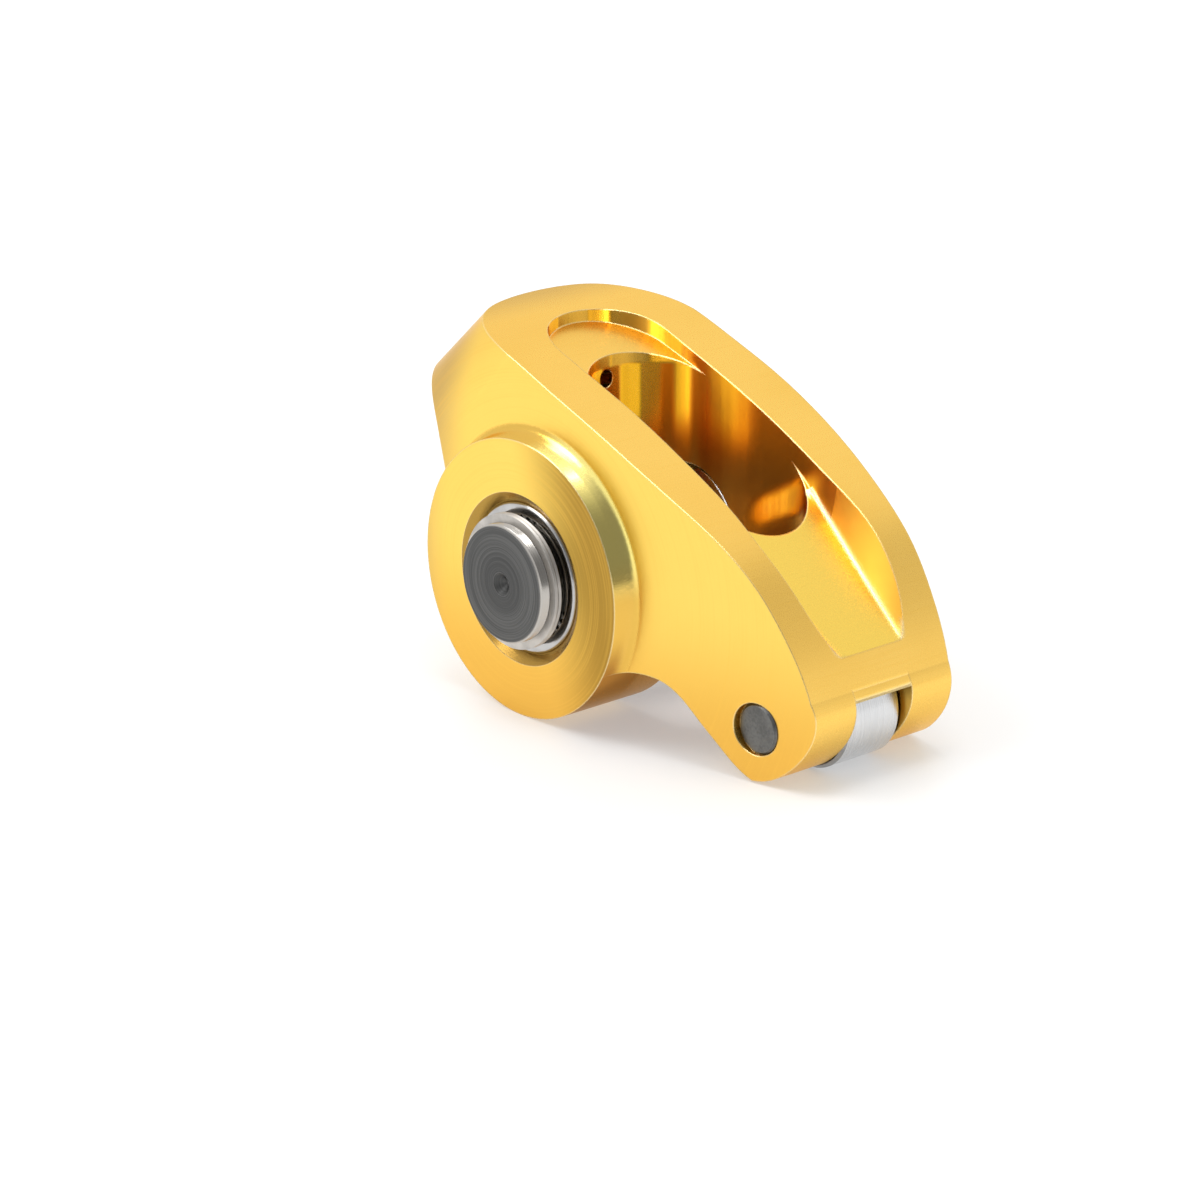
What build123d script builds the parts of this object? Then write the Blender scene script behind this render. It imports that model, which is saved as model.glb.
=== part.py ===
from build123d import *
import os
from math import atan2, cos, radians, sin, sqrt

os.makedirs("parts", exist_ok=True)

# Driving sizes, in mm. Origin: centre of the trunnion. +X to the nose, +Y along the trunnion,
# +Z up as the arm lies on its boss and its tip roller.

# Trunnion bearing, one drawn cup with loose rollers at each side of the slot.
journal_r = 7.5
roller_play = 0.015
needle_r = 0.65
needle_count = 38
cup_wall = 0.695
bore_r = journal_r + 2 * needle_r + 2 * roller_play + cup_wall
cup_lip_gap = 0.65
cup_lip_r = journal_r + cup_lip_gap
cup_lip_t = 0.7
cup_recess = 0.7
cup_set_in = 0.1
cup_round = 0.25
needle_end_play = 0.1
mouth_width = 1.455
mouth_r = bore_r + mouth_width
mouth_depth = 1.1

# Body: boss, side faces and slot.
boss_r = 17.7
boss_face_y = 19.2
boss_fillet = 1.35
trim = 0.02
through = 90.0
overlap = 0.5
slot_half = 8.4
slot_back_x = -4.8
slot_front_x = 27.05
lower_slot_half = 6.8
lower_slot_back_x = -14.3
lower_slot_front_x = 20.0

# Nose: tip axle, roller and channel.
roller_r = 6.9
roller_half = 4.45
roller_gap = 0.22
roller_chamfer = 0.4
fork_r = 9.2
tip_x = 36.0
tip_z = roller_r - boss_r
tip_pin_r = 3.175
tip_pin_fit = 0.03
tip_hole_mouth_r = 3.3
tip_pin_half = 12.75
tip_pin_chamfer = 0.3
tip_mouth_depth = 0.4
channel_end = (42.2, -2.0)
channel_slope = 0.70
channel_depth = 4.2

# Back end: lock nut relief, pushrod seat and its oil way.
relief_back_x = -12.4
relief_tilt = 16.7
relief_up = (sin(radians(relief_tilt)), 0, cos(radians(relief_tilt)))
relief_floor_z = 22.5
lever_ratio = 1.6
arm_length = sqrt(tip_x ** 2 + tip_z ** 2)
seat_dist = arm_length / lever_ratio
seat_angle = 150
seat_ball_r = 3.97
seat_r = 5.55
seat_back = 5.4
seat_rim = 0.6
seat_mouth = 3.0
seat_oil_r = 0.8
seat_boss_r = 7.6
oil_r = 1.1
oil_exit_y = -0.85
oil_exit_z = 20.95
seat_to_oil = 0.5

# Trunnion.
protrusion = 2.85
stud_r = 5.65
stud_tilt = 16.0
centre_play = 0.1
centre_chamfer = 0.3
ring_from_end = 1.4
ring_seam = 0.12
centre_shoulder = 0.35
centre_r = bore_r - centre_shoulder
nut_flat = 6.4
ring_w = 0.95
ring_proud = 1.05
ring_r = journal_r + ring_proud
ring_groove = 0.55
ring_play = 0.03
dimple_r = 1.5
end_chamfer = 0.25


def seat_point(out):
    """Point on the pushrod axis, a distance out along it from the ball centre."""
    bx = seat_dist * cos(radians(seat_angle))
    bz = seat_dist * sin(radians(seat_angle))
    return (bx + out * seat_axis[0], 0, bz + out * seat_axis[2])


# The pushrod leaves square to the line from the trunnion to the ball.
seat_axis = (cos(radians(seat_angle + 90)), 0, sin(radians(seat_angle + 90)))
stud_axis = (sin(radians(stud_tilt)), 0, cos(radians(stud_tilt)))

# Each cup runs from just inside the slot wall to just inside the boss face.
cup_in = slot_half + cup_set_in
cup_out = boss_face_y - cup_recess

# The oil way runs from the back of the seat to the back wall of the slot.
oil_start = seat_point(seat_to_oil - seat_back)
oil_reach = (slot_back_x - oil_start[0], oil_exit_y, oil_exit_z - oil_start[2])
oil_length = sqrt(oil_reach[0] ** 2 + oil_reach[1] ** 2 + oil_reach[2] ** 2) + overlap

# Side outline, drawn in the XZ plane.
top_curve = [
    (-19.6, 28.9), (-14.0, 28.0), (-7.0, 26.7), (0.0, 24.4), (8.0, 21.6), (16.0, 18.3),
    (24.0, 14.5), (30.0, 11.2), (36.0, 6.6), (40.0, 1.6), channel_end, (43.8, -5.8),
]
nose_curve = [(43.8, -5.8), (44.6, -8.3), (43.8, -11.3), (41.6, -14.3), (38.6, -16.6), (35.5, -17.45)]
arch_curve = [
    (35.5, -17.45), (33.0, -16.1), (30.4, -13.9), (28.0, -11.75), (25.6, -9.5), (24.3, -8.6),
    (22.7, -7.9), (20.7, -7.6), (19.0, -7.65), (17.3, -7.95), (14.4, -8.9),
]
tail_curve = [(-27.3, 21.2), (-29.2, 18.6), (-29.7, 16.4), (-28.9, 14.5), (-27.2, 13.2)]
tail_foot = (-16.2, 6.85)

# Channel outline, as distance back from its end and half width: at its floor, and at the top of its walls.
channel_floor = [(-10, 3.7), (0, 5.0), (8, 6.06), (16, 7.11), (22, 7.88), (25.8, 8.28), (30, 8.36)]
channel_rim = [
    (-10, 10.4), (0, 10.2), (3.9, 9.2), (8.7, 8.6), (13.7, 8.72), (18.2, 8.7), (22, 8.5),
    (26, 8.37), (30, 8.36),
]

# Plan outline of the back end where it is 29 mm up, cut along an axis that leans backwards,
# and the round it also keeps to, whose axis leans the other way.
tail_lean = 47.0
tail_axis = (-sin(radians(tail_lean)), 0, -cos(radians(tail_lean)))
tail_round_lean = 15.0
tail_round_axis = (-sin(radians(tail_round_lean)), 0, cos(radians(tail_round_lean)))
tail_round_z = 16.4
back_plan = [
    (-19.5, 0), (-19.0, 5.0), (-17.7, 8.6), (-15.6, 11.1), (-12.3, 13.2), (-7.2, 14.9),
    (0, 15.8), (8, 17.0),
]
tail_round_r = 18.5
tail_round_x = -10.45

# Half widths of the sides at two heights. They lean outwards downwards, except at the nose.
plan_top_z = 29.0
plan_low_z = -24.0
plan_clear = (12.0, 25.0)
plan_top = [
    (-40, 15.4), (-4, 15.4), (8, 15.45), (16, 15.0), (24, 14.2), (30, 13.5), (36, 12.9),
    (42, 11.9), (48, 10.5),
]
plan_low = [
    (-40, 18.0), (-4, 18.0), (8, 18.05), (16, 17.7), (24, 16.1), (30, 14.3), (36, 12.9),
    (42, 11.8), (48, 10.5),
]


def on_boss(edge):
    """True for an edge where the boss meets a side face."""
    for k in range(5):
        p = edge @ (k / 4)
        if abs(sqrt(p.X ** 2 + p.Z ** 2) - boss_r) > trim / 2 or abs(p.Y) > boss_face_y - overlap:
            return False
    return edge.geom_type != GeomType.LINE


with BuildPart() as outline:
    with BuildSketch(Plane.XZ):
        with BuildLine():
            Spline(top_curve)
            Spline(nose_curve)
            Spline(arch_curve)
            Polyline(arch_curve[-1], (0, 0), tail_foot, tail_curve[-1])
            Spline(list(reversed(tail_curve)))
            Line(tail_curve[0], top_curve[0])
        make_face()
        Circle(boss_r - trim)
    extrude(amount=boss_face_y + mouth_depth, both=True)

with BuildPart() as front_plan:
    for height, points in ((plan_low_z, plan_low), (plan_top_z, plan_top)):
        with BuildSketch(Plane.XY.offset(height)):
            with BuildLine():
                Spline(points)
                Line(points[-1], (points[-1][0], -points[-1][1]))
                Spline([(x, -y) for x, y in reversed(points)])
                Line((points[0][0], -points[0][1]), points[0])
            make_face()
    loft(ruled=True)

with BuildPart() as back_shape:
    with BuildSketch(Plane.XY.offset(plan_top_z)):
        with BuildLine():
            Spline([(x, -y) for x, y in reversed(back_plan)] + back_plan[1:])
            Polyline(
                back_plan[-1], plan_clear, (through, plan_clear[1]), (through, -plan_clear[1]),
                (plan_clear[0], -plan_clear[1]), (back_plan[-1][0], -back_plan[-1][1]),
            )
        make_face()
    extrude(amount=through, dir=tail_axis)

with BuildPart() as tail_round:
    with BuildSketch(Plane.XY.offset(tail_round_z)):
        with Locations((tail_round_x, 0)):
            Circle(tail_round_r)
            Rectangle(through, through, align=(Align.MIN, Align.CENTER))
    extrude(amount=through, dir=tail_round_axis, both=True)
    Cylinder(boss_r + boss_fillet, through, rotation=(90, 0, 0))

with BuildPart() as blank:
    add(front_plan.part & back_shape.part)
    with Locations(Plane((0, -boss_face_y, 0), x_dir=(0, 0, -1), z_dir=(0, 1, 0))):
        Cylinder(boss_r, 2 * boss_face_y, align=(Align.CENTER, Align.CENTER, Align.MIN))
    fillet(blank.edges().filter_by(on_boss), boss_fillet)

# Relief at the back of the slot for the lock nut, over a sloping floor.
with BuildPart() as relief:
    with BuildSketch(Plane.XY):
        with Locations((relief_back_x, 0)):
            SlotOverall(2 * slot_half - relief_back_x, 2 * slot_half, align=(Align.MIN, Align.CENTER))
    extrude(amount=through)
    split(bisect_by=Plane((0, 0, relief_floor_z), z_dir=relief_up), keep=Keep.TOP)

# Stepped bore for the bearing cups, chamfered at both mouths.
with BuildPart() as bore_cut:
    with BuildSketch(Plane.XY):
        with BuildLine():
            Polyline(
                (0, 0), (bore_r, 0), (bore_r, boss_face_y - mouth_depth), (mouth_r, boss_face_y),
                (mouth_r, boss_face_y + overlap), (0, boss_face_y + overlap), close=True,
            )
        make_face()
    revolve(axis=Axis.Y)
    mirror(about=Plane.XZ)

# Sunk channel down the nose, its floor running from the slot to just above the crease.
channel_dir = atan2(channel_slope, 1)
channel_plane = Plane(
    (channel_end[0], 0, channel_end[1]),
    x_dir=(-cos(channel_dir), 0, sin(channel_dir)),
    z_dir=(sin(channel_dir), 0, cos(channel_dir)),
)
with BuildPart() as channel:
    for height, points in ((0, channel_floor), (channel_depth, channel_rim)):
        with BuildSketch(channel_plane.offset(height)):
            with BuildLine():
                Spline(points)
                Line(points[-1], (points[-1][0], -points[-1][1]))
                Spline([(x, -y) for x, y in reversed(points)])
                Line((points[0][0], -points[0][1]), points[0])
            make_face()
    loft(ruled=True)

# Slot for the stud, wide above the trunnion and narrower below it.
with BuildPart() as slots:
    with BuildSketch(Plane.XY):
        with Locations(((slot_back_x + slot_front_x) / 2, 0)):
            SlotOverall(slot_front_x - slot_back_x, 2 * slot_half)
    extrude(amount=through)
    with BuildSketch(Plane.XY.offset(overlap)):
        with Locations(((lower_slot_back_x + lower_slot_front_x) / 2, 0)):
            SlotOverall(lower_slot_front_x - lower_slot_back_x, 2 * lower_slot_half)
    extrude(amount=-through)

with BuildPart() as body:
    add(blank.part & tail_round.part & outline.part)
    add(slots.part, mode=Mode.SUBTRACT)
    add(relief.part, mode=Mode.SUBTRACT)
    add(channel.part, mode=Mode.SUBTRACT)
    add(bore_cut.part, mode=Mode.SUBTRACT)
    # Fork for the tip roller, open at the front and below.
    with BuildSketch(Plane.XZ):
        with Locations((tip_x, tip_z)):
            Circle(fork_r)
            Rectangle(through, through, align=(Align.MIN, Align.MAX))
            Rectangle(fork_r, through, align=(Align.MAX, Align.MAX))
    extrude(amount=roller_half + roller_gap, both=True, mode=Mode.SUBTRACT)
    # Hole for the tip axle, with a wider mouth in each ear.
    with Locations((tip_x, 0, tip_z)):
        Cylinder(tip_pin_r, through, rotation=(90, 0, 0), mode=Mode.SUBTRACT)
    for side in (-1, 1):
        with Locations(Plane((tip_x, side * (tip_pin_half - tip_mouth_depth), tip_z), z_dir=(0, side, 0))):
            Cylinder(
                tip_hole_mouth_r, boss_r, align=(Align.CENTER, Align.CENTER, Align.MIN), mode=Mode.SUBTRACT
            )
    # Boss and blind bore for the pushrod seat, then the oil way into the slot.
    with BuildSketch(Plane(seat_point(seat_mouth), z_dir=seat_axis)):
        Circle(seat_boss_r)
    extrude(amount=-seat_mouth - seat_back)
    with BuildSketch(Plane(seat_point(-seat_back), z_dir=seat_axis)):
        Circle(seat_r)
    extrude(amount=through, mode=Mode.SUBTRACT)
    with BuildSketch(Plane(oil_start, z_dir=oil_reach)):
        Circle(oil_r)
    extrude(amount=oil_length, mode=Mode.SUBTRACT)

body.part.label = "body"
export_step(body.part, "parts/body.step")

# Trunnion: two journals, a wider middle and a cross hole for the stud under a nut flat.
half_length = boss_face_y + protrusion
groove_out = half_length - ring_from_end
groove_in = groove_out - ring_w - 2 * ring_play
with BuildPart() as trunnion:
    with BuildSketch(Plane.XY):
        with BuildLine():
            Polyline(
                (0, 0), (centre_r, 0), (centre_r, cup_in - centre_play - centre_chamfer),
                (centre_r - centre_chamfer, cup_in - centre_play), (journal_r, cup_in - centre_play),
                (journal_r, groove_in), (journal_r - ring_groove, groove_in),
                (journal_r - ring_groove, groove_out), (journal_r, groove_out),
                (journal_r, half_length - end_chamfer), (journal_r - end_chamfer, half_length),
                (dimple_r, half_length), (0, half_length - dimple_r), close=True,
            )
        make_face()
    revolve(axis=Axis.Y)
    mirror(about=Plane.XZ)
    with BuildSketch(Plane((0, 0, 0), z_dir=stud_axis)):
        Circle(stud_r)
    extrude(amount=through, both=True, mode=Mode.SUBTRACT)
    with BuildSketch(Plane((nut_flat * stud_axis[0], 0, nut_flat * stud_axis[2]), z_dir=stud_axis)):
        Rectangle(2 * centre_r, 2 * (cup_in - centre_play))
    extrude(amount=through, mode=Mode.SUBTRACT)

trunnion.part.label = "trunnion"
export_step(trunnion.part, "parts/trunnion.step")

# Bearings, retaining rings: one of each at either side.
cup_in_r = bore_r - cup_wall
pitch_r = journal_r + roller_play + needle_r
for side, name in ((-1, "near"), (1, "far")):
    with BuildPart() as cup:
        with BuildSketch(Plane.XY):
            with BuildLine():
                Polyline(
                    (cup_lip_r, side * cup_in), (bore_r - cup_round, side * cup_in),
                    (bore_r, side * (cup_in + cup_round)), (bore_r, side * (cup_out - cup_round)),
                    (bore_r - cup_round, side * cup_out), (cup_lip_r, side * cup_out),
                    (cup_lip_r, side * (cup_out - cup_lip_t)), (cup_in_r, side * (cup_out - cup_lip_t)),
                    (cup_in_r, side * (cup_in + cup_lip_t)), (cup_lip_r, side * (cup_in + cup_lip_t)),
                    close=True,
                )
            make_face()
        revolve(axis=Axis.Y)
    cup.part.label = "bearing_cup_" + name
    export_step(cup.part, "parts/bearing_cup_" + name + ".step")

    needle_length = cup_out - cup_in - 2 * cup_lip_t - 2 * needle_end_play
    with BuildPart() as needles:
        with Locations(Plane((0, side * (cup_in + cup_out) / 2, 0), x_dir=(1, 0, 0), z_dir=(0, 1, 0))):
            with PolarLocations(pitch_r, needle_count):
                Cylinder(needle_r, needle_length)
    needles.part.label = "needles_" + name
    export_step(needles.part, "parts/needles_" + name + ".step")

    ring_mid = side * (groove_in + groove_out) / 2
    half_w = ring_w / 2
    with BuildPart() as ring:
        with BuildSketch(Plane.XY):
            with BuildLine():
                Polyline(
                    (journal_r - ring_groove + ring_play, ring_mid - half_w), (ring_r, ring_mid - half_w),
                    (ring_r, ring_mid - ring_seam / 2), (ring_r - ring_seam, ring_mid),
                    (ring_r, ring_mid + ring_seam / 2), (ring_r, ring_mid + half_w),
                    (journal_r - ring_groove + ring_play, ring_mid + half_w), close=True,
                )
            make_face()
        revolve(axis=Axis.Y)
    ring.part.label = "retaining_ring_" + name
    export_step(ring.part, "parts/retaining_ring_" + name + ".step")

# Hardened seat for the pushrod's ball, with its oil hole.
with BuildPart() as pushrod_seat:
    with BuildSketch(Plane(seat_point(-seat_back), z_dir=seat_axis)):
        Circle(seat_r)
    extrude(amount=seat_back + seat_rim)
    with Locations(seat_point(0)):
        Sphere(seat_ball_r, mode=Mode.SUBTRACT)
    with BuildSketch(Plane(seat_point(0), z_dir=seat_axis)):
        Circle(seat_ball_r)
    extrude(amount=through, mode=Mode.SUBTRACT)
    with BuildSketch(Plane(seat_point(0), z_dir=seat_axis)):
        Circle(seat_oil_r)
    extrude(amount=-through, mode=Mode.SUBTRACT)

pushrod_seat.part.label = "pushrod_seat"
export_step(pushrod_seat.part, "parts/pushrod_seat.step")

# Tip roller on its pressed axle.
with BuildPart() as tip_roller:
    with Locations((tip_x, 0, tip_z)):
        Cylinder(roller_r, 2 * roller_half, rotation=(90, 0, 0))
    chamfer(tip_roller.edges().filter_by(GeomType.CIRCLE), roller_chamfer)
    with Locations((tip_x, 0, tip_z)):
        Cylinder(tip_pin_r + tip_pin_fit, 2 * roller_half, rotation=(90, 0, 0), mode=Mode.SUBTRACT)

tip_roller.part.label = "tip_roller"
export_step(tip_roller.part, "parts/tip_roller.step")

with BuildPart() as tip_axle:
    with Locations((tip_x, 0, tip_z)):
        Cylinder(tip_pin_r, 2 * tip_pin_half, rotation=(90, 0, 0))
    chamfer(tip_axle.edges().filter_by(GeomType.CIRCLE), tip_pin_chamfer)

tip_axle.part.label = "tip_axle"
export_step(tip_axle.part, "parts/tip_axle.step")
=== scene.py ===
import bpy
from mathutils import Matrix, Vector

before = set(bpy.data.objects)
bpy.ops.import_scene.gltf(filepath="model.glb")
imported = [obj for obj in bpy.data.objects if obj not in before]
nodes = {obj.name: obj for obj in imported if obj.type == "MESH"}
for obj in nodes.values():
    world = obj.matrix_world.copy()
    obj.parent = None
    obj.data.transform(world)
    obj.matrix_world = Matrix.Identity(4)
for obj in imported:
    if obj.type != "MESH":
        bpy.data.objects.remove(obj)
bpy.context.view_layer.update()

# Places on the part that the finishes go by, in metres. A pair is where a stretch or a fade
# starts and ends.
# The stud slot, and the relief behind it, whose floor slopes: this is how low its finish goes.
SLOT_HALF = 0.0084
SLOT_X = (-0.0132, 0.0272)
RELIEF_X = (-0.0215, 0.0272)
RELIEF_LOW_Z = 0.0220
# The channel down the nose: its floor's end and slope, the floor's normal and the way back up
# it, and the floor's half width at that end and how fast it widens.
CHANNEL_X = (0.0272, 0.0424)
CHANNEL_HALF = 0.0112
CHANNEL_END = (0.0422, 0.0, -0.0020)
CHANNEL_SLOPE = 0.70
CHANNEL_UP = Vector((CHANNEL_SLOPE, 0.0, 1.0)).normalized()
CHANNEL_BACK = Vector((-1.0, 0.0, CHANNEL_SLOPE)).normalized()
CHANNEL_LENGTH = (0.0002, 0.0235)
CHANNEL_END_HALF = 0.0050
CHANNEL_WIDENING = 0.131
# The boss, the cove at its foot and the chamfered mouth of its bore.
BOSS_R = 0.0177
BOSS_FACE_Y = 0.0192
COVE_Y = (0.0122, 0.0134)
COVE_REACH = 0.00145
MOUTH_Y = 0.0180
MOUTH_R = (0.0094, 0.01096)
# The trunnion: its journals, its ends, and how far out the bearing cups' inner ends reach.
JOURNAL_R = 0.0075
TRUNNION_END_Y = (0.0190, 0.0195)
CUP_INNER_Y = 0.0090
ROLLER_AXIS = (0.036, 0.0, -0.0108)
SEAT_CENTRE = (-0.020344, 0.0, 0.011745)
# The white floor, and the soft margin of most masks.
FLOOR_Z = -0.0177
FLOOR_HALF = 3.0
SOFT = 0.0002

# Painted highlights: light streaks down the walls, placed to match the photograph. Each is a
# start and an end along the wall, a soft margin, and how far the shading tips upwards there,
# which also sets how pale the streak is painted.
SLOT_STREAKS = (
    (-0.0013, 0.0001, 0.0011, 0.95),
    (0.0010, 0.0026, 0.0010, 0.26),
    (0.0052, 0.0064, 0.0010, 0.54),
    (0.0108, 0.0125, 0.0032, 0.45),
)
RELIEF_STREAKS = (
    (-0.0054, -0.0038, 0.0010, 0.90),
    (0.0022, 0.0052, 0.0012, 0.45),
)

# Camera at the photograph's angle.
eye = Vector((0.4108871, -0.3681083, 0.189811))
right = Vector((0.660483, 0.750835, 0.002841))
up = Vector((-0.254294, 0.220131, 0.941742))
back = Vector((0.706468, -0.622727, 0.336325))
camera_data = bpy.data.cameras.new("camera")
camera_data.sensor_fit = "HORIZONTAL"
camera_data.sensor_width = 36.0
camera_data.lens = 139.759
camera_data.clip_start = 0.01
camera_data.clip_end = 20.0
camera = bpy.data.objects.new("camera", camera_data)
bpy.context.scene.collection.objects.link(camera)
turn = Matrix((right, up, back)).transposed().to_4x4()
camera.matrix_world = Matrix.Translation(eye) @ turn
bpy.context.scene.camera = camera
bpy.context.scene.view_settings.view_transform = "Standard"


class Tree:
    """Short calls for building a node tree."""

    def __init__(self, tree):
        self.tree = tree
        self.tree.nodes.clear()

    def add(self, kind, **settings):
        """A new node with these settings."""
        node = self.tree.nodes.new(kind)
        for key, value in settings.items():
            setattr(node, key, value)
        return node

    def put(self, socket, value):
        """Link an output to the socket, or set its value, or leave it alone for None."""
        if isinstance(value, bpy.types.NodeSocket):
            self.tree.links.new(value, socket)
        elif value is not None:
            socket.default_value = value

    def math(self, operation, a, b=None):
        node = self.add("ShaderNodeMath", operation=operation)
        self.put(node.inputs[0], a)
        self.put(node.inputs[1], b)
        return node.outputs[0]

    def times(self, a, b):
        return self.math("MULTIPLY", a, b)

    def plus(self, a, b):
        return self.math("ADD", a, b)

    def minus(self, a, b):
        return self.math("SUBTRACT", a, b)

    def larger(self, a, b):
        return self.math("MAXIMUM", a, b)

    def size(self, a):
        return self.math("ABSOLUTE", a)

    def radius(self, x, z):
        """Distance from an axis along y."""
        return self.math("SQRT", self.plus(self.times(x, x), self.times(z, z)))

    def vector(self, operation, a, b=None):
        node = self.add("ShaderNodeVectorMath", operation=operation)
        self.put(node.inputs[0], a)
        self.put(node.inputs[1], b)
        return node.outputs["Value" if operation == "DOT_PRODUCT" else "Vector"]

    def split(self, vector):
        node = self.add("ShaderNodeSeparateXYZ")
        self.put(node.inputs[0], vector)
        return node.outputs

    def join(self, x, y, z):
        node = self.add("ShaderNodeCombineXYZ")
        self.put(node.inputs[0], x)
        self.put(node.inputs[1], y)
        self.put(node.inputs[2], z)
        return node.outputs[0]

    def grey(self, value):
        return self.join(value, value, value)

    def noise(self, vector, scale=1.0, detail=2.0, roughness=0.5):
        node = self.add("ShaderNodeTexNoise")
        self.put(node.inputs["Vector"], vector)
        self.put(node.inputs["Scale"], scale)
        self.put(node.inputs["Detail"], detail)
        self.put(node.inputs["Roughness"], roughness)
        return node.outputs["Fac"]

    def ramp(self, value, low, high, to_low=0.0, to_high=1.0):
        """A smooth step from one result to the other while the value goes from low to high."""
        node = self.add("ShaderNodeMapRange", interpolation_type="SMOOTHSTEP")
        self.put(node.inputs["Value"], value)
        self.put(node.inputs["From Min"], low)
        self.put(node.inputs["From Max"], high)
        self.put(node.inputs["To Min"], to_low)
        self.put(node.inputs["To Max"], to_high)
        return node.outputs["Result"]

    def mix(self, factor, a, b):
        node = self.add("ShaderNodeMix", data_type="RGBA")
        self.put(node.inputs["Factor"], factor)
        self.put(node.inputs[6], a if isinstance(a, bpy.types.NodeSocket) else (*a, 1.0))
        self.put(node.inputs[7], b if isinstance(b, bpy.types.NodeSocket) else (*b, 1.0))
        return node.outputs[2]

    def bump(self, height, strength, distance, normal=None):
        node = self.add("ShaderNodeBump")
        self.put(node.inputs["Height"], height)
        self.put(node.inputs["Strength"], strength)
        self.put(node.inputs["Distance"], distance)
        self.put(node.inputs["Normal"], normal)
        return node.outputs["Normal"]

    def edges(self, radius):
        """A rounded edge normal, and a mask that is 1 along sharp edges."""
        bevel = self.add("ShaderNodeBevel", samples=6)
        self.put(bevel.inputs["Radius"], radius)
        geometry = self.add("ShaderNodeNewGeometry")
        along = self.vector("DOT_PRODUCT", bevel.outputs["Normal"], geometry.outputs["Normal"])
        return bevel.outputs["Normal"], self.ramp(along, 0.995, 0.90)

    def tip(self, normal, by):
        """The normal, tipped by a vector."""
        return self.vector("NORMALIZE", self.vector("ADD", normal, by))

    def lean(self, normal, y, amount):
        """The normal, tipped outwards along the trunnion by an amount that may vary."""
        out = self.times(self.math("SIGN", y), amount)
        return self.tip(normal, self.join(0.0, out, 0.0))

    def band(self, value, low, high, soft):
        """1 between low and high, falling off over a soft margin on both sides."""
        rising = self.ramp(value, low - soft, low)
        return self.times(rising, self.ramp(value, high + soft, high))


def material(name, coat=0.0, coat_roughness=0.1):
    """A metal, its tree and shader, and the place and normal on the part at rest."""
    made = bpy.data.materials.new(name)
    made.use_nodes = True
    tree = Tree(made.node_tree)
    output = tree.add("ShaderNodeOutputMaterial")
    shader = tree.add("ShaderNodeBsdfPrincipled")
    tree.put(output.inputs["Surface"], shader.outputs["BSDF"])
    shader.inputs["Metallic"].default_value = 1.0
    shader.inputs["Coat Weight"].default_value = coat
    shader.inputs["Coat Roughness"].default_value = coat_roughness
    place = tree.add("ShaderNodeTexCoord")
    return made, tree, shader, place.outputs["Object"], place.outputs["Normal"]


def gold_places(t, place, normal):
    """The body's own measures, and masks that are 1 on one of its cuts each."""
    x, y, z = t.split(place)[:3]
    _, ny, nz = t.split(normal)[:3]
    side_on = t.size(ny)
    off_middle = t.size(y)
    radius = t.radius(x, z)
    steep = t.ramp(t.size(nz), 0.55, 0.35)

    in_width = t.ramp(off_middle, SLOT_HALF + 0.0008, SLOT_HALF + 0.0003)
    in_slot = t.times(in_width, t.band(x, *SLOT_X, SOFT))
    above_floor = t.ramp(z, RELIEF_LOW_Z, RELIEF_LOW_Z + 0.0005)
    in_relief = t.times(t.band(x, *RELIEF_X, SOFT), above_floor)
    in_slot = t.larger(in_slot, t.times(in_relief, in_width))

    in_channel = t.ramp(off_middle, CHANNEL_HALF, CHANNEL_HALF - 0.0004)
    in_channel = t.times(in_channel, t.band(x, *CHANNEL_X, SOFT))
    on_wall = t.times(t.ramp(side_on, 0.45, 0.6), t.ramp(z, -0.0040, -0.0034))
    channel_wall = t.times(in_channel, on_wall)
    from_end = t.vector("SUBTRACT", place, CHANNEL_END)
    over_floor = t.vector("DOT_PRODUCT", from_end, CHANNEL_UP)
    along_floor = t.vector("DOT_PRODUCT", from_end, CHANNEL_BACK)
    floor_half = t.plus(CHANNEL_END_HALF, t.times(along_floor, CHANNEL_WIDENING))
    past_edge = t.minus(off_middle, floor_half)
    in_reach = t.band(along_floor, *CHANNEL_LENGTH, SOFT)
    near_foot = t.ramp(t.size(past_edge), 0.0012, 0.0008)
    near_foot = t.times(t.band(over_floor, -0.0004, 0.0008, SOFT), near_foot)
    channel_floor = t.times(t.band(over_floor, -0.0003, 0.0003, 0.0001), in_reach)
    channel_floor = t.times(channel_floor, t.ramp(past_edge, 0.0001, -0.0001))

    # The boss wall with its cove. Behind and below, the barrel runs on plain from side to side.
    round_boss = t.band(radius, BOSS_R - 0.00005, BOSS_R + COVE_REACH, 0.0001)
    cove = t.times(t.ramp(off_middle, *COVE_Y), round_boss)
    cove = t.times(cove, t.ramp(side_on, 0.992, 0.97))
    beside_arm = t.larger(t.ramp(x, -0.005, 0.002), t.ramp(z, 0.001, 0.008))
    cove = t.times(cove, t.times(beside_arm, t.ramp(z, -0.0145, -0.0080)))
    mouth = t.ramp(off_middle, MOUTH_Y, MOUTH_Y + 0.0001)
    mouth = t.times(mouth, t.band(radius, *MOUTH_R, 0.00002))

    return {
        "x": x, "y": y, "z": z, "nz": nz,
        "side_on": side_on, "off_middle": off_middle, "radius": radius,
        "side": t.ramp(side_on, 0.6, 0.8),
        "wall": t.times(in_slot, steep),
        "inside": t.times(t.larger(in_slot, channel_wall), t.larger(steep, channel_wall)),
        "channel_wall": channel_wall,
        "channel_floor": t.times(channel_floor, t.ramp(side_on, 0.4, 0.2)),
        "near_foot": t.times(near_foot, in_reach),
        "cove": cove,
        "mouth": mouth,
        "turned": t.larger(cove, mouth),
    }


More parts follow.
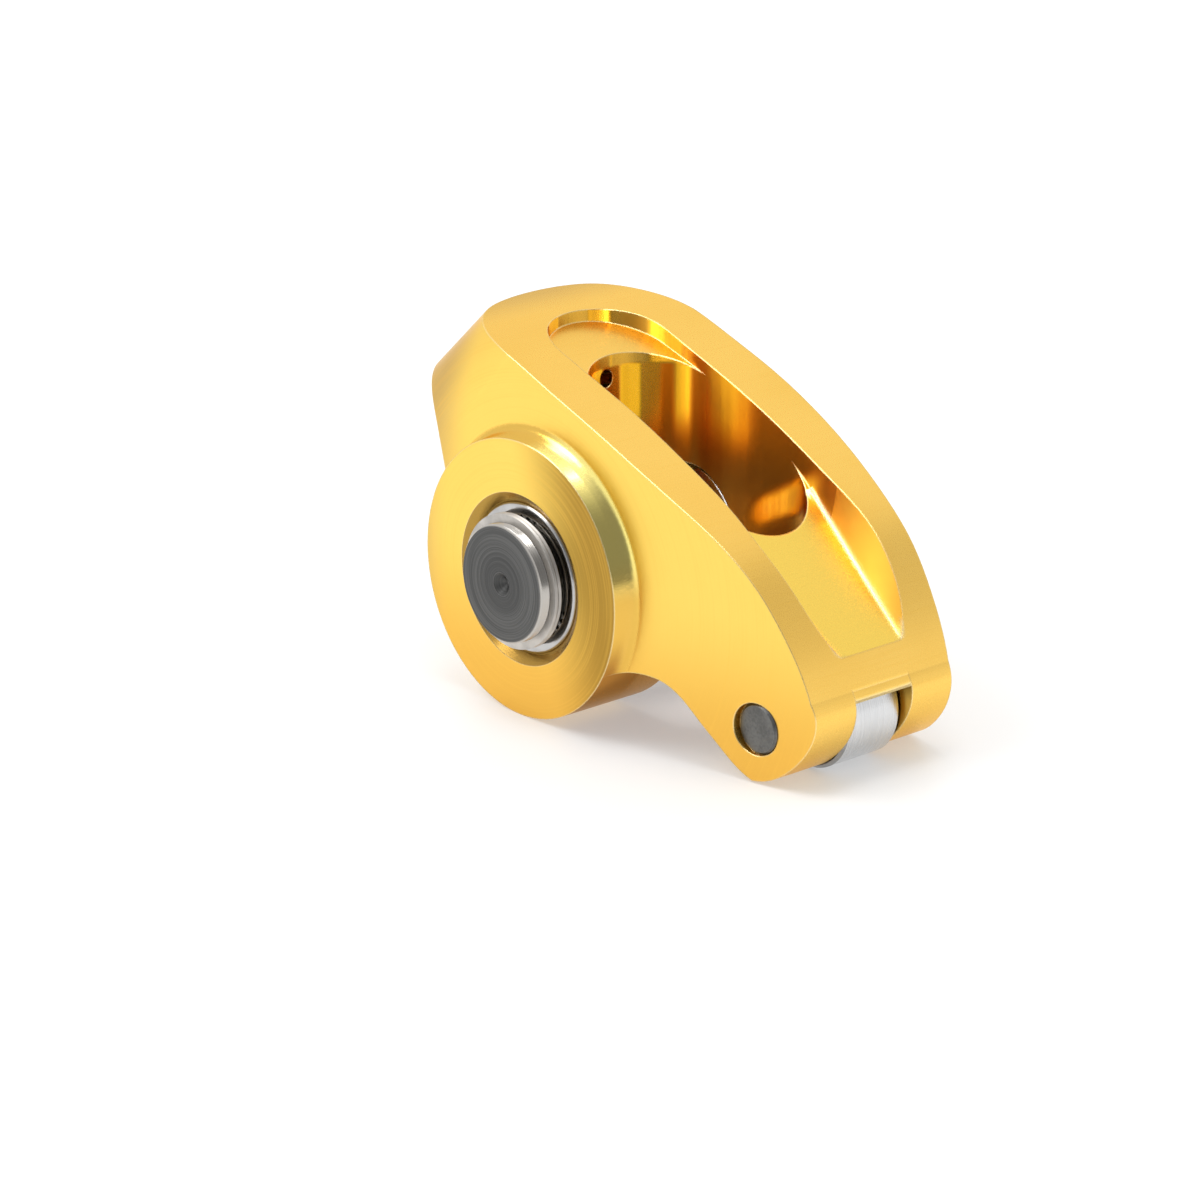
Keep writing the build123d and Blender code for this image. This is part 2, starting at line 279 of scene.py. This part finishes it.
def slot_shading(t, at, broad):
    """How far the slot's and relief's walls shade upwards, and their tone, which paints highlight
    streaks, a glow and shade lower down.
    """
    z = at["z"]
    along_wall = t.plus(t.times(at["x"], 0.66), t.times(at["off_middle"], 0.75))

    # One sloping band of painted light low at the front, on the far wall.
    sloping = t.minus(z, t.times(at["x"], 0.55))
    glow = t.band(sloping, -0.0017, -0.0011, 0.0030)
    glow = t.times(glow, t.band(at["x"], 0.0150, 0.0205, 0.0055))
    glow = t.times(glow, t.ramp(at["y"], 0.0, 0.002))

    def streaks(rows):
        lift = 0.0
        for low, high, soft, amount in rows:
            lift = t.larger(lift, t.times(t.band(along_wall, low, high, soft), amount))
        return lift

    # The slot's streaks fade downwards. Above, towards the back, the relief's take over.
    fading = t.plus(0.25, t.times(t.ramp(z, 0.0110, 0.0170), 0.75))
    slot = t.times(streaks(SLOT_STREAKS), fading)
    relief = t.plus(0.20, streaks(RELIEF_STREAKS))
    on_relief = t.ramp(z, RELIEF_LOW_Z, RELIEF_LOW_Z + 0.0006)
    on_relief = t.times(on_relief, t.ramp(along_wall, 0.0072, 0.0062))
    lifted = t.plus(t.times(slot, t.minus(1.0, on_relief)), t.times(relief, on_relief))
    lifted = t.times(t.larger(lifted, glow), t.ramp(broad, 0.30, 0.70, 0.85, 1.10))

    # Painted shade: darker towards the bottom of the slot, except in the glow.
    deep = t.times(t.ramp(z, 0.0170, 0.0090), t.minus(1.0, glow))
    # The painted tone: the streaks pale, the walls between them deep orange, the same on the relief.
    tone = t.mix(t.ramp(lifted, 0.10, 0.60), (0.82, 0.36, 0.030), (1.0, 0.52, 0.022))
    tone = t.mix(t.times(deep, 0.8), tone, (0.50, 0.22, 0.030))
    relief_tone = t.mix(t.ramp(lifted, 0.20, 0.60), (0.72, 0.40, 0.05), (1.0, 0.47, 0.024))
    tone = t.mix(on_relief, tone, relief_tone)
    return lifted, t.mix(glow, tone, (0.76, 0.31, 0.016))


def gold_tones(t, place, at, marks, edge, slot_painted_light):
    """The gold, with painted shade and painted light set where the photograph shows them."""
    x, z, cove = at["x"], at["z"], at["cove"]
    # Painted shade: the side faces deeper orange towards the bottom.
    low = t.times(at["side"], t.ramp(z, 0.004, -0.014))
    on_face = t.ramp(at["off_middle"], BOSS_FACE_Y - 0.00005, BOSS_FACE_Y - 0.00002)
    # Painted shade: the boss face turns darker towards the nose end.
    boss_face_shade = t.times(on_face, t.ramp(t.plus(x, t.times(z, 0.25)), 0.002, 0.015))
    # Painted shade: the tail darker and greyer.
    tail = t.ramp(x, -0.013, -0.022)
    # 1 where the boss wall faces up and forwards, and less all round from there. The cove is
    # painted pale there as a highlight, and olive further round as shade.
    around_boss = t.math("DIVIDE", t.plus(t.times(x, 0.70), t.times(z, 0.71)), at["radius"])
    cove_painted_light = t.mix(t.ramp(around_boss, 0.74, 0.93), (0.70, 0.42, 0.075), (1.0, 0.92, 0.32))
    # Painted shade: faces turned down under the arch are deep brown.
    underneath = t.times(t.ramp(at["nz"], -0.15, -0.5), t.band(x, 0.008, 0.026, 0.002))
    # Painted highlights along the sharp edges, stronger at the channel floor's foot.
    edge_highlight = t.times(edge, t.plus(0.6, t.times(at["near_foot"], 0.35)))

    patches = t.ramp(t.noise(place, scale=70.0, detail=3.0), 0.35, 0.7)
    base = t.mix(patches, (0.95, 0.61, 0.135), (0.93, 0.585, 0.122))
    for mask, tone in (
        # Painted light: the side faces paler and yellower.
        (t.times(at["side"], 0.6), (0.93, 0.665, 0.130)),
        (t.times(low, 0.8), (0.80, 0.43, 0.065)),
        (t.times(boss_face_shade, 0.85), (0.30, 0.16, 0.02)),
        (t.times(tail, 0.8), (0.54, 0.35, 0.13)),
        (t.times(t.ramp(marks, 0.45, 0.75), 0.25), (0.90, 0.54, 0.09)),
        (at["wall"], slot_painted_light),
        (t.times(cove, 0.7), cove_painted_light),
        (t.times(underneath, 0.95), (0.40, 0.17, 0.030)),
        # Painted reflection on the channel walls, deeper orange, and painted light on its floor.
        (at["channel_wall"], (0.97, 0.51, 0.06)),
        (at["channel_floor"], (1.0, 0.70, 0.125)),
        # Painted shade: the bore's chamfered mouth dark.
        (t.times(at["mouth"], 0.9), (0.36, 0.21, 0.045)),
        (edge_highlight, (1.0, 0.86, 0.50)),
    ):
        base = t.mix(mask, base, tone)
    return base


def gold_anodised():
    """Satin gold anodising over milled aluminium: marks that follow each cut, painted edge
    highlights.
    """
    made, t, shader, place, normal = material("gold_anodised", coat=0.08, coat_roughness=0.22)
    shader.inputs["Specular Tint"].default_value = (1.0, 0.86, 0.62, 1.0)
    at = gold_places(t, place, normal)
    x, z, wall = at["x"], at["z"], at["wall"]

    # Cutter marks: upright in the slot, along the trunnion outside, arcs on the side faces.
    upright = t.noise(t.vector("MULTIPLY", place, (2600.0, 2600.0, 60.0)), detail=3.0, roughness=0.6)
    broad = t.noise(t.vector("MULTIPLY", place, (420.0, 420.0, 14.0)), detail=2.0)
    across = t.noise(t.vector("MULTIPLY", place, (3200.0, 90.0, 3200.0)), detail=3.0, roughness=0.6)
    arcs = t.noise(t.join(t.times(at["radius"], 4200.0), t.times(x, 40.0), t.times(z, 40.0)),
                   detail=2.0, roughness=0.55)
    grain = t.noise(t.vector("MULTIPLY", place, (7000.0, 7000.0, 7000.0)), detail=2.0)
    walls = t.plus(t.times(upright, 0.7), t.times(broad, 0.6))
    outside = t.mix(at["side"], t.grey(across), t.grey(arcs))
    marks = t.mix(at["inside"], outside, t.grey(walls))
    height = t.plus(t.times(marks, 0.7), t.times(grain, 0.45))

    lifted, slot_painted_light = slot_shading(t, at, broad)
    rounded, edge = t.edges(t.plus(0.0003, t.times(at["near_foot"], 0.0008)))
    upwards = t.tip(rounded, t.join(0.0, 0.0, t.times(wall, lifted)))
    # The real boss wall tapers outwards and the solid's is straight, so its shading leans out.
    taper = t.times(at["cove"], t.ramp(at["side_on"], 0.75, 0.0, 0.0, 0.62))
    tapered = t.lean(upwards, at["y"], taper)
    streaked = t.bump(broad, t.times(wall, 0.15), 0.0004, tapered)
    t.put(shader.inputs["Normal"], t.bump(height, 0.15, 0.00004, streaked))
    t.put(shader.inputs["Base Color"], gold_tones(t, place, at, marks, edge, slot_painted_light))

    rough = t.plus(t.ramp(grain, 0.3, 0.7, 0.26, 0.34), t.times(at["side"], 0.04))
    for mask, amount in ((at["turned"], 0.13), (edge, 0.08), (wall, 0.02)):
        rough = t.minus(rough, t.times(mask, amount))
    t.put(shader.inputs["Roughness"], rough)
    t.put(shader.inputs["Anisotropic"], t.times(at["inside"], 0.8))
    t.put(shader.inputs["Tangent"], t.join(0.0, 0.0, 1.0))
    return made


def turned_dark():
    """Dark hardened steel, turned: rings on the end faces, ground journals."""
    made, t, shader, place, normal = material("turned_dark_steel", coat=0.15, coat_roughness=0.3)
    x, y, z = t.split(place)[:3]
    is_face = t.ramp(t.size(t.split(normal)[1]), 0.75, 0.9)
    radius = t.radius(x, z)
    rings = t.noise(t.join(t.times(radius, 6400.0), t.times(x, 60.0), t.times(z, 60.0)),
                    detail=2.0, roughness=0.6)
    wide_rings = t.noise(t.join(t.times(radius, 1500.0), 0.0, 0.0), detail=1.0)
    around = t.noise(t.join(t.times(x, 60.0), t.times(y, 5200.0), t.times(z, 60.0)),
                     detail=2.0, roughness=0.6)
    face = t.plus(t.times(rings, 0.95), t.times(wide_rings, 0.25))
    marks = t.mix(is_face, t.grey(around), t.grey(face))
    rounded, edge = t.edges(0.00015)
    upwards = t.times(t.ramp(t.size(y), CUP_INNER_Y - 0.0004, CUP_INNER_Y - 0.0008), 0.7)
    rounded = t.tip(rounded, t.join(0.0, 0.0, upwards))
    rounded = t.lean(rounded, y, t.times(t.ramp(t.size(y), *TRUNNION_END_Y), 0.55))
    t.put(shader.inputs["Normal"], t.bump(marks, 0.35, 0.00005, rounded))
    near_rim = t.ramp(radius, JOURNAL_R - 0.0003, JOURNAL_R - 0.0001)
    on_journal = t.times(near_rim, t.minus(1.0, is_face))
    on_journal = t.times(on_journal, t.ramp(t.size(y), CUP_INNER_Y, CUP_INNER_Y + 0.0004))
    dark = t.mix(t.ramp(rings, 0.3, 0.75), (0.060, 0.060, 0.059), (0.135, 0.134, 0.130))
    middle = t.ramp(radius, 0.0046, 0.0030)
    dark = t.mix(t.times(middle, 0.5), dark, (0.045, 0.045, 0.045))
    base = t.mix(on_journal, dark, (0.50, 0.475, 0.44))
    base = t.mix(t.ramp(t.size(y), CUP_INNER_Y, CUP_INNER_Y - 0.0004), base, (0.46, 0.45, 0.435))
    base = t.mix(t.times(edge, 0.45), base, (0.34, 0.33, 0.32))
    t.put(shader.inputs["Base Color"], base)
    rough = t.minus(t.ramp(rings, 0.3, 0.8, 0.34, 0.46), t.times(on_journal, 0.2))
    t.put(shader.inputs["Roughness"], rough)
    return made


def drawn_bright():
    """Bright drawn steel of the bearing cups, with faint rings."""
    made, t, shader, place, _ = material("drawn_bright_steel")
    x, y, z = t.split(place)[:3]
    radius = t.radius(x, z)
    rings = t.noise(t.join(t.times(radius, 5200.0), t.times(y, 2600.0), 0.0), detail=2.0)
    smudge = t.noise(place, scale=260.0, detail=3.0)
    rounded, edge = t.edges(0.0003)
    upwards = t.times(t.ramp(t.size(y), CUP_INNER_Y, CUP_INNER_Y - 0.0004), 0.8)
    rounded = t.tip(rounded, t.join(0.0, 0.0, upwards))
    t.put(shader.inputs["Normal"], t.bump(rings, 0.10, 0.00003, rounded))
    base = t.mix(t.ramp(smudge, 0.35, 0.75), (0.50, 0.495, 0.49), (0.36, 0.355, 0.35))
    base = t.mix(t.times(edge, 0.4), base, (0.66, 0.66, 0.67))
    t.put(shader.inputs["Base Color"], base)
    t.put(shader.inputs["Roughness"], t.ramp(smudge, 0.3, 0.8, 0.12, 0.24))
    return made


def needle_steel():
    """Lapped bearing rollers."""
    made, t, shader, place, _ = material("lapped_roller_steel")
    fine = t.noise(t.vector("MULTIPLY", place, (1800.0, 5200.0, 1800.0)), detail=2.0)
    t.put(shader.inputs["Normal"], t.bump(fine, 0.08, 0.00002))
    base = t.mix(t.ramp(fine, 0.3, 0.7), (0.60, 0.60, 0.60), (0.70, 0.70, 0.69))
    t.put(shader.inputs["Base Color"], base)
    t.put(shader.inputs["Roughness"], t.ramp(fine, 0.3, 0.8, 0.10, 0.2))
    return made


def spring_steel():
    """Tempered spring steel of the retaining rings: warm grey, in uneven patches."""
    made, t, shader, place, _ = material("tempered_spring_steel")
    x, y, z = t.split(place)[:3]
    around = t.noise(t.join(t.times(x, 120.0), t.times(y, 6400.0), t.times(z, 120.0)),
                     detail=2.0, roughness=0.6)
    patch = t.noise(place, scale=420.0, detail=3.0)
    rounded, edge = t.edges(0.00012)
    t.put(shader.inputs["Normal"], t.bump(around, 0.22, 0.00004, t.lean(rounded, y, 0.7)))
    base = t.mix(t.ramp(patch, 0.35, 0.7), (0.56, 0.53, 0.49), (0.43, 0.41, 0.385))
    base = t.mix(t.times(edge, 0.7), base, (0.52, 0.50, 0.47))
    t.put(shader.inputs["Base Color"], base)
    t.put(shader.inputs["Roughness"], t.ramp(patch, 0.3, 0.8, 0.36, 0.48))
    return made


def ground_bright():
    """Ground tip roller: grinding lines run round it, and its end faces are much darker."""
    made, t, shader, place, normal = material("ground_bright_steel")
    x, y, z = t.split(t.vector("SUBTRACT", place, ROLLER_AXIS))[:3]
    is_face = t.ramp(t.size(t.split(normal)[1]), 0.5, 0.9)
    radius = t.radius(x, z)
    around = t.noise(t.join(t.times(x, 70.0), t.times(y, 7600.0), t.times(z, 70.0)),
                     detail=3.0, roughness=0.65)
    rings = t.noise(t.join(t.times(radius, 4200.0), 0.0, 0.0), detail=2.0)
    marks = t.mix(is_face, t.grey(around), t.grey(rings))
    rounded, edge = t.edges(0.00015)
    t.put(shader.inputs["Normal"], t.bump(marks, 0.20, 0.00004, rounded))
    base = t.mix(t.ramp(around, 0.3, 0.75), (0.60, 0.605, 0.61), (0.72, 0.725, 0.73))
    base = t.mix(is_face, base, (0.11, 0.11, 0.11))
    base = t.mix(t.times(edge, 0.4), base, (0.75, 0.75, 0.75))
    t.put(shader.inputs["Base Color"], base)
    t.put(shader.inputs["Roughness"], t.ramp(around, 0.3, 0.8, 0.20, 0.32))
    return made


def black_oxide(name, centre, grey):
    """Black oxide finish: fine mottled skin, rubbed paler on the edges."""
    made, t, shader, place, _ = material(name, coat=0.2, coat_roughness=0.35)
    local = t.vector("SUBTRACT", place, centre)
    mottle = t.noise(local, scale=2600.0, detail=4.0, roughness=0.6)
    broad = t.noise(local, scale=420.0, detail=2.0)
    rounded, edge = t.edges(0.00018)
    t.put(shader.inputs["Normal"], t.bump(mottle, 0.22, 0.00004, rounded))
    low = tuple(c * 0.75 for c in grey)
    high = tuple(c * 1.25 for c in grey)
    skin = t.plus(t.times(mottle, 0.6), t.times(broad, 0.4))
    base = t.mix(t.ramp(skin, 0.35, 0.65), low, high)
    base = t.mix(t.times(edge, 0.5), base, (0.30, 0.30, 0.29))
    t.put(shader.inputs["Base Color"], base)
    t.put(shader.inputs["Roughness"], t.ramp(mottle, 0.3, 0.75, 0.36, 0.52))
    return made


finishes = {
    "gold": gold_anodised(),
    "dark": turned_dark(),
    "cup": drawn_bright(),
    "needle": needle_steel(),
    "ring": spring_steel(),
    "roller": ground_bright(),
    "axle": black_oxide("black_oxide_axle", ROLLER_AXIS, (0.13, 0.13, 0.125)),
    "seat": black_oxide("black_oxide_seat", SEAT_CENTRE, (0.10, 0.10, 0.10)),
}
finish_of = {
    "body": "gold", "trunnion": "dark", "bearing_cup_near": "cup", "bearing_cup_far": "cup",
    "needles_near": "needle", "needles_far": "needle", "retaining_ring_near": "ring",
    "retaining_ring_far": "ring", "pushrod_seat": "seat", "tip_roller": "roller", "tip_axle": "axle",
}
for name, finish in finish_of.items():
    mesh = nodes[name].data
    mesh.materials.clear()
    mesh.materials.append(finishes[finish])


def white_floor():
    """White matt floor that takes the shadow, plus a glow only the camera and reflections see."""
    made = bpy.data.materials.new("white_floor")
    made.use_nodes = True
    t = Tree(made.node_tree)
    output = t.add("ShaderNodeOutputMaterial")
    matt = t.add("ShaderNodeBsdfPrincipled")
    matt.inputs["Base Color"].default_value = (0.58, 0.58, 0.58, 1.0)
    matt.inputs["Roughness"].default_value = 0.45
    matt.inputs["Specular IOR Level"].default_value = 0.25
    glow = t.add("ShaderNodeEmission")
    glow.inputs["Color"].default_value = (1.0, 1.0, 1.0, 1.0)
    path = t.add("ShaderNodeLightPath")
    mirrored = t.larger(path.outputs["Is Glossy Ray"], path.outputs["Is Transmission Ray"])
    seen = t.times(path.outputs["Is Camera Ray"], 0.37)
    seen = t.larger(seen, t.times(mirrored, 0.42))
    t.put(glow.inputs["Strength"], seen)
    both = t.add("ShaderNodeAddShader")
    t.put(both.inputs[0], matt.outputs["BSDF"])
    t.put(both.inputs[1], glow.outputs["Emission"])
    t.put(output.inputs["Surface"], both.outputs["Shader"])
    return made


floor_mesh = bpy.data.meshes.new("floor")
corners = [(FLOOR_HALF * a, FLOOR_HALF * b, FLOOR_Z) for a, b in ((-1, -1), (1, -1), (1, 1), (-1, 1))]
floor_mesh.from_pydata(corners, [], [(0, 1, 2, 3)])
floor = bpy.data.objects.new("floor", floor_mesh)
bpy.context.scene.collection.objects.link(floor)
floor_mesh.materials.append(white_floor())


# Soft tent: white all round, dimmer at the photograph's upper right, dark round the camera.
DIM_PATCH = (0.42, 0.62, 0.66)
world = bpy.data.worlds.new("tent")
bpy.context.scene.world = world
world.use_nodes = True
t = Tree(world.node_tree)
output = t.add("ShaderNodeOutputWorld")
direction = t.add("ShaderNodeTexCoord").outputs["Generated"]
towards_patch = t.vector("DOT_PRODUCT", direction, DIM_PATCH)
dimming = t.ramp(towards_patch, 0.90, 0.985, 1.0, 0.70)
towards_camera = t.vector("DOT_PRODUCT", direction, tuple(back))
dark_room = t.ramp(towards_camera, 0.55, 0.92, 1.0, 0.26)
level = t.times(dimming, dark_room)
path = t.add("ShaderNodeLightPath")
level = t.larger(level, path.outputs["Is Camera Ray"])
sky = t.add("ShaderNodeBackground")
sky.inputs["Color"].default_value = (1.0, 1.0, 1.0, 1.0)
t.put(sky.inputs["Strength"], level)
t.put(output.inputs["Surface"], sky.outputs["Background"])


def softbox(name, place, side, watts):
    """A square light that faces the middle of the trunnion."""
    data = bpy.data.lights.new(name, "AREA")
    data.shape = "RECTANGLE"
    data.size = side
    data.size_y = side
    data.energy = watts
    lamp = bpy.data.objects.new(name, data)
    bpy.context.scene.collection.objects.link(lamp)
    lamp.location = place
    lamp.rotation_euler = (-Vector(place)).to_track_quat("-Z", "Y").to_euler()


softbox("softbox_left", (-0.40, -0.50, 0.75), 0.5, 3.0)
softbox("softbox_above", (0.05, -0.05, 0.95), 0.4, 2.6)
